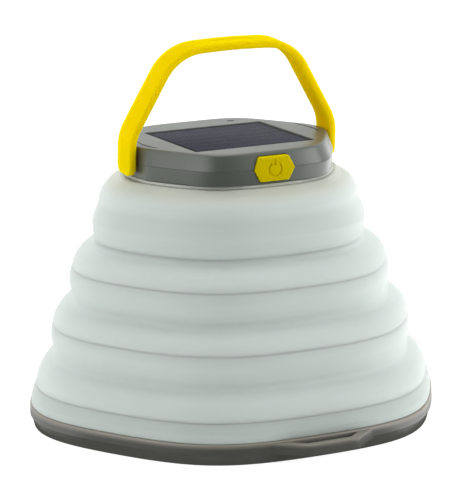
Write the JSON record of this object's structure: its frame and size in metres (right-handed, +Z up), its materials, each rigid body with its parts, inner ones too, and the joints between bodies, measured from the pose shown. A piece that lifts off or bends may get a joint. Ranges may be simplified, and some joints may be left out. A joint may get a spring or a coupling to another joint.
{
  "type": "collapsible camping lantern",
  "caption": "Solar camping lantern with a folding translucent hexagonal diffuser, yellow carrying handle, push button and a hang loop on its base.",
  "frame": {"origin": "on the lantern's axis, at the surface that its base stands on", "axes": "+Z up; -Y is the front, with the push button and hang loop; +X along the handle's pivot axis"},
  "size_m": [0.1148, 0.1151, 0.1033],
  "materials": {
    "housing": "fine satin moulding",
    "base_plate": "satin moulding",
    "reflector": "white, semi-gloss",
    "clamp": "natural, satin",
    "silicone": "translucent, frosted",
    "steel": "zinc plated",
    "lamp": "phosphor yellow",
    "red_lead": "insulated wire",
    "black_lead": "insulated wire",
    "solar_cell": "dark cell under a clear laminate",
    "adhesive": "double-sided tape",
    "clear_plastic": "clear",
    "foam": "foam tape",
    "battery": "foil pouch",
    "circuit_board": "green solder mask",
    "switch_body": "moulded",
    "yellow_plastic": "fine satin moulding",
    "port_rubber": "matt"
  },
  "bodies": {
    "base": {"base_ring": "housing", "base_plate": "base_plate", "reflector": "reflector", "lower_clamp_ring": "clamp", "base_screw_1": "steel", "base_screw_2": "steel", "base_screw_3": "steel", "base_screw_4": "steel", "base_screw_5": "steel", "base_screw_6": "steel", "diffuser_foot": "silicone", "diffuser_web_4": "silicone"},
    "tier_3": {"diffuser_band_3": "silicone", "diffuser_web_3": "silicone"},
    "tier_2": {"diffuser_band_2": "silicone", "diffuser_web_2": "silicone"},
    "tier_1": {"diffuser_band_1": "silicone", "diffuser_web_1": "silicone"},
    "head": {"head_housing": "housing", "head_cover": "housing", "diffuser_collar": "silicone", "upper_clamp_ring": "clamp", "head_screw_1": "steel", "head_screw_2": "steel", "head_screw_3": "steel", "head_screw_4": "steel", "solar_panel": "solar_cell", "panel_adhesive": "adhesive", "indicator_window": "clear_plastic", "led_lens": "clear_plastic", "led_board": "reflector", "led_1": "lamp", "led_2": "lamp", "led_3": "lamp", "led_4": "lamp", "led_5": "lamp", "led_6": "lamp", "battery_pad": "foam", "battery_cell": "battery", "main_board": "circuit_board", "usb_socket": "steel", "tact_switch": "switch_body", "charge_led": "lamp", "solar_lead_plus": "red_lead", "led_lead_plus": "red_lead", "battery_lead_plus": "red_lead", "solar_lead_minus": "black_lead", "led_lead_minus": "black_lead", "battery_lead_minus": "black_lead"},
    "button": {"power_button": "yellow_plastic"},
    "port_flap": {"port_cover": "port_rubber"},
    "bail": {"handle": "yellow_plastic"}
  },
  "joints": [
    {"name": "fold_band_3", "type": "slide", "parent": "base", "child": "tier_3", "axis": [0, 0, -1], "range_m": [0, 0.0135], "deforming": ["diffuser_web_4"]},
    {"name": "fold_band_2", "type": "slide", "parent": "tier_3", "child": "tier_2", "axis": [0, 0, -1], "range_m": [0, 0.0108], "deforming": ["diffuser_web_3"]},
    {"name": "fold_band_1", "type": "slide", "parent": "tier_2", "child": "tier_1", "axis": [0, 0, -1], "range_m": [0, 0.01148], "deforming": ["diffuser_web_2"]},
    {"name": "fold_head", "type": "slide", "parent": "tier_1", "child": "head", "axis": [0, 0, -1], "range_m": [0, 0.00743], "deforming": ["diffuser_web_1"]},
    {"name": "handle_swing", "type": "hinge", "parent": "head", "child": "bail", "pos_m": [0, 0, 0.0712], "axis": [1, 0, 0], "range_deg": [-82.5, 85.5]},
    {"name": "button_press", "type": "slide", "parent": "head", "child": "button", "axis": [0, 1, 0], "range_m": [0, 0.0006], "stiffness_N_per_m": 2000},
    {"name": "port_cover_hinge", "type": "hinge", "parent": "head", "child": "port_flap", "pos_m": [0, 0.0289, 0.0697], "axis": [-1, 0, 0], "range_deg": [0, 90]}
  ],
  "couplings": [
    {"joint": "fold_band_2", "follows": "fold_band_3", "ratio": 0.8},
    {"joint": "fold_band_1", "follows": "fold_band_3", "ratio": 0.85},
    {"joint": "fold_head", "follows": "fold_band_3", "ratio": 0.55}
  ]
}
